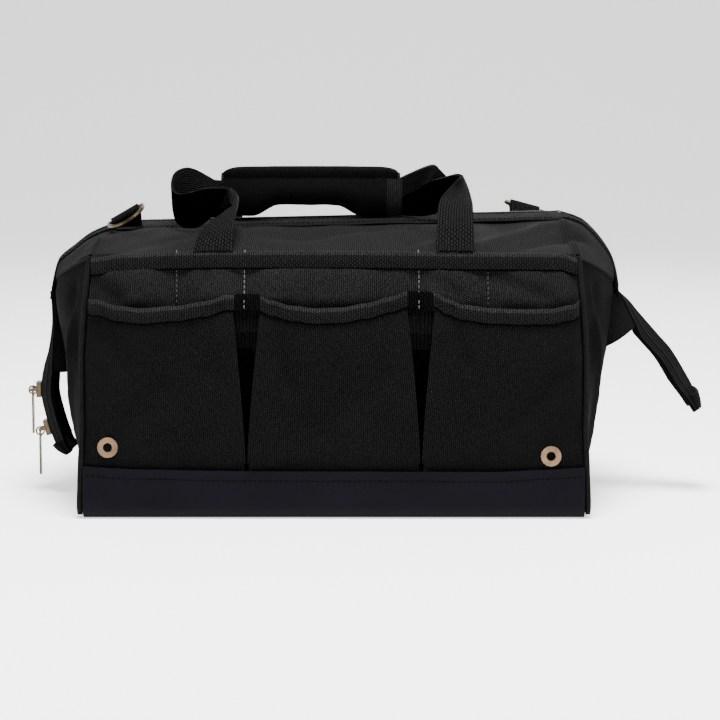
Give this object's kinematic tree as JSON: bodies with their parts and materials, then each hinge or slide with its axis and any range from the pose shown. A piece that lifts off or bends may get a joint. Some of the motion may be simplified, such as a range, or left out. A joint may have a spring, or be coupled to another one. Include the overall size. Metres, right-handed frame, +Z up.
{
  "type": "zippered tool bag",
  "caption": "Soft tool bag with a zipped steel-framed mouth, bellows pockets all round the front and back, a coated base, a wrapped two-strap handle and zip tails.",
  "frame": {"origin": "middle of the flat underside of the base", "axes": "+X along the bag to its right end, -Y to the front that the picture shows, +Z up"},
  "size_m": [0.4925, 0.2174, 0.2405],
  "materials": {
    "canvas": "black duck weave, padded",
    "panel_grey": "dark grey duck weave",
    "coated_base": "coated fabric, slight sheen",
    "webbing": "coarse basket-weave webbing and twill tape",
    "brass": "dull plated brass",
    "steel": "zinc-plated steel",
    "board": "stiff plastic board"
  },
  "bodies": {
    "shell": {"base_boot": "coated_base", "bottom_board": "board", "front_panel": "canvas", "front_upper_pocket": "canvas", "front_hem_binding": "webbing", "front_inner_pocket": "panel_grey", "front_yoke": "panel_grey", "front_pocket_left": "canvas", "front_pocket_mid": "canvas", "front_pocket_right": "canvas", "front_pocket_binding_left": "webbing", "front_pocket_binding_mid": "webbing", "front_pocket_binding_right": "webbing", "front_left_eyelet": "brass", "front_right_eyelet": "brass", "front_left_strap": "webbing", "front_right_strap": "webbing", "back_panel": "canvas", "back_upper_pocket": "canvas", "back_hem_binding": "webbing", "back_inner_pocket": "panel_grey", "back_yoke": "panel_grey", "back_pocket_left": "canvas", "back_pocket_mid": "canvas", "back_pocket_right": "canvas", "back_pocket_binding_left": "webbing", "back_pocket_binding_mid": "webbing", "back_pocket_binding_right": "webbing", "back_left_eyelet": "brass", "back_right_eyelet": "brass", "back_left_strap": "webbing", "back_right_strap": "webbing", "left_gusset": "panel_grey", "left_pivot_rivet": "steel", "left_pivot_patch": "webbing", "right_gusset": "panel_grey", "right_pivot_rivet": "steel", "right_pivot_patch": "webbing"},
    "front_jaw": {"front_frame_rod": "steel", "front_placket": "canvas", "front_zip_half": "webbing", "left_ring_tab": "webbing"},
    "back_jaw": {"back_frame_rod": "steel", "back_placket": "canvas", "back_zip_half": "webbing", "right_ring_tab": "webbing"},
    "handle": {"grip_wrap": "canvas", "grip_core": "webbing"},
    "grip_flap": {"grip_flap": "panel_grey"},
    "left_tail": {"left_tail": "panel_grey"},
    "right_tail": {"right_tail": "panel_grey"},
    "left_d_ring": {"left_d_ring": "steel"},
    "right_d_ring": {"right_d_ring": "steel"},
    "slider_upper": {"slider_upper": "brass"},
    "slider_upper_ring": {"slider_upper_ring": "brass"},
    "slider_upper_pull": {"slider_upper_pull": "brass"},
    "slider_lower": {"slider_lower": "brass"},
    "slider_lower_ring": {"slider_lower_ring": "brass"},
    "slider_lower_pull": {"slider_lower_pull": "brass"}
  },
  "joints": [
    {"name": "front_jaw_open", "type": "hinge", "parent": "shell", "child": "front_jaw", "pos_m": [0, 0, 0.14], "axis": [1, 0, 0], "range_deg": [0, 60], "deforming": ["front_yoke"]},
    {"name": "back_jaw_open", "type": "hinge", "parent": "shell", "child": "back_jaw", "pos_m": [0, 0, 0.14], "axis": [-1, 0, 0], "range_deg": [0, 60], "deforming": ["back_yoke"]},
    {"name": "handle_lift", "type": "slide", "parent": "shell", "child": "handle", "axis": [0, 0, 1], "range_m": [0, 0.045], "deforming": ["front_left_strap", "front_right_strap", "back_left_strap", "back_right_strap"]},
    {"name": "grip_flap_open", "type": "hinge", "parent": "handle", "child": "grip_flap", "pos_m": [0, -0.0172, 0.2312], "axis": [-1, 0, 0], "range_deg": [0, 150]},
    {"name": "left_tail_lift", "type": "hinge", "parent": "shell", "child": "left_tail", "pos_m": [-0.204, 0, 0.149], "axis": [0, 1, 0], "range_deg": [0, 40]},
    {"name": "right_tail_lift", "type": "hinge", "parent": "shell", "child": "right_tail", "pos_m": [0.204, 0, 0.149], "axis": [0, -1, 0], "range_deg": [0, 40]},
    {"name": "left_d_ring_flip", "type": "hinge", "parent": "front_jaw", "child": "left_d_ring", "pos_m": [-0.149, -0.026, 0.205], "axis": [-0.866, 0, -0.5], "range_deg": [0, 150]},
    {"name": "right_d_ring_flip", "type": "hinge", "parent": "back_jaw", "child": "right_d_ring", "pos_m": [0.139, 0.026, 0.208], "axis": [0.9659, 0, -0.2588], "range_deg": [0, 150]},
    {"name": "slider_upper_run", "type": "slide", "parent": "left_tail", "child": "slider_upper", "axis": [0, 0, 1], "range_m": [0, 0.012]},
    {"name": "slider_lower_run", "type": "slide", "parent": "left_tail", "child": "slider_lower", "axis": [-0.2726, 0, 0.9621], "range_m": [0, 0.01]},
    {"name": "slider_upper_ring_swing", "type": "hinge", "parent": "slider_upper", "child": "slider_upper_ring", "pos_m": [-0.222, 0.0033, 0.076], "axis": [0, 1, 0], "range_deg": [0, 110]},
    {"name": "slider_upper_pull_swing", "type": "hinge", "parent": "slider_upper_ring", "child": "slider_upper_pull", "pos_m": [-0.222, 0.0033, 0.0719], "axis": [0, 1, 0], "range_deg": [0, 30]},
    {"name": "slider_lower_ring_swing", "type": "hinge", "parent": "slider_lower", "child": "slider_lower_ring", "pos_m": [-0.21622, -0.0033, 0.04656], "axis": [0, 1, 0], "range_deg": [0, 110]},
    {"name": "slider_lower_pull_swing", "type": "hinge", "parent": "slider_lower_ring", "child": "slider_lower_pull", "pos_m": [-0.21622, -0.0033, 0.04246], "axis": [0, 1, 0], "range_deg": [0, 30]}
  ]
}
